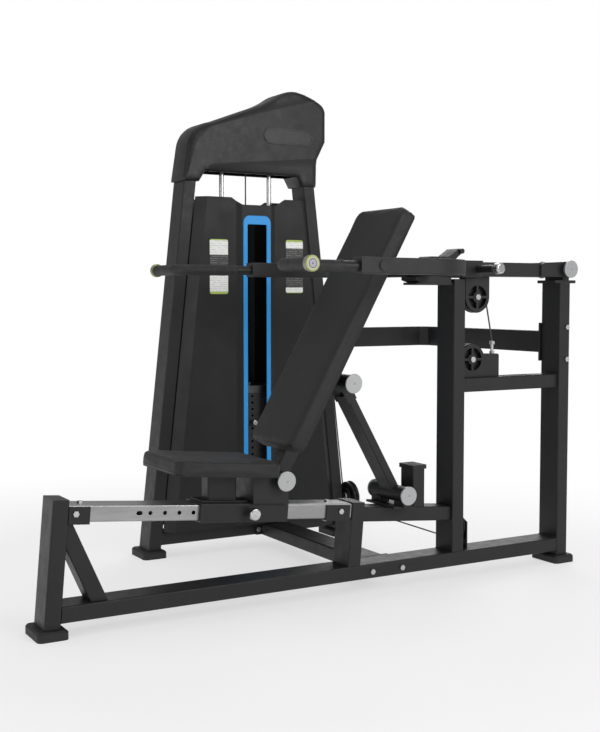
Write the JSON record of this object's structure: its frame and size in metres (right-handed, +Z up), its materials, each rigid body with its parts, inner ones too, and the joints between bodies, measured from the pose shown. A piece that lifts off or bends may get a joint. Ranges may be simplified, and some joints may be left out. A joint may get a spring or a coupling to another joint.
{
  "type": "multi press gym machine",
  "caption": "Seated press machine: a seat on a sloping rail with a linked back pad, an overhead press arm and a cable drive to a weight stack in a separate tower.",
  "frame": {"origin": "on the floor, on the main frame's centre plane, below the leading edge of the front post", "axes": "+X from the front post towards the press arm's pivot, +Y from the main frame towards the weight stack tower, +Z up"},
  "size_m": [2.059, 1.454, 1.802],
  "materials": {
    "front_post": "textured black powder coat",
    "base_tube": "textured black powder coat",
    "front_brace": "textured black powder coat",
    "rail_support_post": "textured black powder coat",
    "upper_beam": "textured black powder coat",
    "middle_post": "textured black powder coat",
    "rear_post": "textured black powder coat",
    "cross_bar": "textured black powder coat",
    "seat_rail": "satin plated steel",
    "rail_sockets": "textured black powder coat",
    "stop_post": "textured black powder coat",
    "rubber_stops": "moulded black rubber",
    "foot_pads": "moulded black rubber",
    "link_pivot_stand": "textured black powder coat",
    "link_pivot_shaft": "turned and anodised",
    "arm_pivot_stand": "textured black powder coat",
    "connection_tube": "textured black powder coat",
    "stabiliser_beam": "textured black powder coat",
    "tower_frame": "textured black powder coat",
    "tower_cross_beams": "textured black powder coat",
    "guide_rods": "polished",
    "weight_plates_lower": "dark paint",
    "weight_plates_lifted": "dark paint",
    "selector_stem": "plated steel stem under a dark top plate",
    "selector_pin": "polished pin with a dark knob",
    "front_shroud": "satin black sheet",
    "rear_shroud": "satin black sheet",
    "slot_trim": "blue moulding",
    "top_cowl": "satin black moulding",
    "cowl_badge": "blank dark inlay",
    "instruction_plates": "blank placard in dark and pale bands",
    "idler_pulley": "black nylon",
    "foot_pulley": "black nylon",
    "side_pulley": "black nylon",
    "top_pulley_right": "black nylon",
    "top_pulley_center": "black nylon",
    "arm_pulley": "black nylon",
    "pulley_brackets": "textured black powder coat",
    "cable_fixed_run": "black nylon jacket",
    "cable_anchor_run": "black nylon jacket",
    "cable_drop_run": "black nylon jacket",
    "cable_arm_loop": "black nylon jacket",
    "stack_cable": "black nylon jacket",
    "carriage_sleeve": "textured black powder coat",
    "carriage_pin": "polished pin with a dark knob",
    "seat_frame": "textured black powder coat",
    "seat_pad": "grained synthetic leather over foam",
    "carriage_pivot_shaft": "turned and anodised",
    "back_pad": "grained synthetic leather over foam",
    "backrest_frame": "textured black powder coat",
    "link_arm": "textured black powder coat",
    "link_top_shafts": "turned and anodised",
    "lever_beam": "textured black powder coat",
    "yoke_frame": "textured black powder coat",
    "arm_pin": "polished",
    "arm_shafts": "turned and anodised",
    "handle_bars": "textured black powder coat",
    "handle_grips": "fine ribbed rubber",
    "grip_end_caps": "turned and anodised",
    "frame_bolts": "zinc plated"
  },
  "bodies": {
    "frame": {"front_post": "front_post", "base_tube": "base_tube", "front_brace": "front_brace", "rail_support_post": "rail_support_post", "upper_beam": "upper_beam", "middle_post": "middle_post", "rear_post": "rear_post", "cross_bar": "cross_bar", "seat_rail": "seat_rail", "rail_sockets": "rail_sockets", "stop_post": "stop_post", "rubber_stops": "rubber_stops", "foot_pads": "foot_pads", "link_pivot_stand": "link_pivot_stand", "link_pivot_shaft": "link_pivot_shaft", "arm_pivot_stand": "arm_pivot_stand", "connection_tube": "connection_tube", "stabiliser_beam": "stabiliser_beam", "tower_frame": "tower_frame", "tower_cross_beams": "tower_cross_beams", "guide_rods": "guide_rods", "weight_plates_lower": "weight_plates_lower", "front_shroud": "front_shroud", "rear_shroud": "rear_shroud", "slot_trim": "slot_trim", "top_cowl": "top_cowl", "cowl_badge": "cowl_badge", "instruction_plates": "instruction_plates", "pulley_brackets": "pulley_brackets", "cable_fixed_run": "cable_fixed_run", "cable_anchor_run": "cable_anchor_run", "cable_drop_run": "cable_drop_run", "stack_cable": "stack_cable", "frame_bolts": "frame_bolts"},
    "carriage": {"carriage_sleeve": "carriage_sleeve", "seat_frame": "seat_frame", "seat_pad": "seat_pad", "carriage_pivot_shaft": "carriage_pivot_shaft"},
    "carriage_pin": {"carriage_pin": "carriage_pin"},
    "backrest": {"backrest_frame": "backrest_frame", "back_pad": "back_pad"},
    "link": {"link_arm": "link_arm", "link_top_shafts": "link_top_shafts"},
    "press_arm": {"lever_beam": "lever_beam", "yoke_frame": "yoke_frame", "handle_bars": "handle_bars", "handle_grips": "handle_grips", "grip_end_caps": "grip_end_caps", "arm_shafts": "arm_shafts", "cable_arm_loop": "cable_arm_loop"},
    "arm_pin": {"arm_pin": "arm_pin"},
    "arm_pulley": {"arm_pulley": "arm_pulley"},
    "idler_pulley": {"idler_pulley": "idler_pulley"},
    "foot_pulley": {"foot_pulley": "foot_pulley"},
    "side_pulley": {"side_pulley": "side_pulley"},
    "top_pulley_right": {"top_pulley_right": "top_pulley_right"},
    "top_pulley_center": {"top_pulley_center": "top_pulley_center"},
    "stack": {"weight_plates_lifted": "weight_plates_lifted", "selector_stem": "selector_stem"},
    "selector_pin": {"selector_pin": "selector_pin"}
  },
  "joints": [
    {"name": "carriage_slide", "type": "slide", "parent": "frame", "child": "carriage", "axis": [0.9963, 0, -0.0858], "range_m": [-0.2861, 0.0953]},
    {"name": "backrest_hinge", "type": "hinge", "parent": "carriage", "child": "backrest", "pos_m": [0.7762, 0, 0.4094], "axis": [0, -1, 0], "range_deg": [-30, 10]},
    {"name": "link_hinge", "type": "hinge", "parent": "frame", "child": "link", "pos_m": [1.2475, 0, 0.3213], "axis": [0, -1, 0], "range_deg": [-9, 27]},
    {"name": "carriage_pin_push", "type": "slide", "parent": "carriage", "child": "carriage_pin", "axis": [0, -1, 0], "range_m": [-0.012, 0]},
    {"name": "press_hinge", "type": "hinge", "parent": "frame", "child": "press_arm", "pos_m": [1.986, 0, 1.092], "axis": [0, 1, 0], "range_deg": [0, 40], "deforming": ["cable_anchor_run", "cable_drop_run"]},
    {"name": "arm_pin_pull", "type": "slide", "parent": "press_arm", "child": "arm_pin", "axis": [0, -1, 0], "range_m": [0, 0.012]},
    {"name": "arm_pulley_spin", "type": "hinge", "parent": "press_arm", "child": "arm_pulley", "pos_m": [1.6, 0, 0.99], "axis": [0, 1, 0], "range_deg": [0, 270]},
    {"name": "idler_spin", "type": "hinge", "parent": "frame", "child": "idler_pulley", "pos_m": [1.58, 0, 0.769], "axis": [0, 1, 0], "range_deg": [0, 620]},
    {"name": "foot_pulley_spin", "type": "hinge", "parent": "frame", "child": "foot_pulley", "pos_m": [1.552, 0.05, 0.166], "axis": [1, 0, 0], "range_deg": [-620, 0]},
    {"name": "side_pulley_spin", "type": "hinge", "parent": "frame", "child": "side_pulley", "pos_m": [1.56544, 0.765, 0.168], "axis": [0.9931, 0, 0.117], "range_deg": [-620, 0]},
    {"name": "top_right_spin", "type": "hinge", "parent": "frame", "child": "top_pulley_right", "pos_m": [1.342, 0.815, 1.64], "axis": [0, 1, 0], "range_deg": [0, 620]},
    {"name": "top_center_spin", "type": "hinge", "parent": "frame", "child": "top_pulley_center", "pos_m": [1.156, 0.815, 1.64], "axis": [0, 1, 0], "range_deg": [0, 620]},
    {"name": "stack_lift", "type": "slide", "parent": "frame", "child": "stack", "axis": [0, 0, 1], "range_m": [0, 0.56], "deforming": ["stack_cable"]},
    {"name": "selector_pin_pull", "type": "slide", "parent": "stack", "child": "selector_pin", "axis": [0, -1, 0], "range_m": [0, 0.09]}
  ],
  "couplings": [
    {"joint": "backrest_hinge", "follows": "carriage_slide", "rad_per_m": 1.7834},
    {"joint": "link_hinge", "follows": "carriage_slide", "rad_per_m": -1.6049},
    {"joint": "stack_lift", "follows": "press_hinge", "m_per_rad": 0.772},
    {"joint": "arm_pulley_spin", "follows": "press_hinge", "ratio": 6.72},
    {"joint": "idler_spin", "follows": "press_hinge", "ratio": 15.44},
    {"joint": "foot_pulley_spin", "follows": "press_hinge", "ratio": -15.44},
    {"joint": "side_pulley_spin", "follows": "press_hinge", "ratio": -15.44},
    {"joint": "top_right_spin", "follows": "press_hinge", "ratio": 15.44},
    {"joint": "top_center_spin", "follows": "press_hinge", "ratio": 15.44}
  ]
}
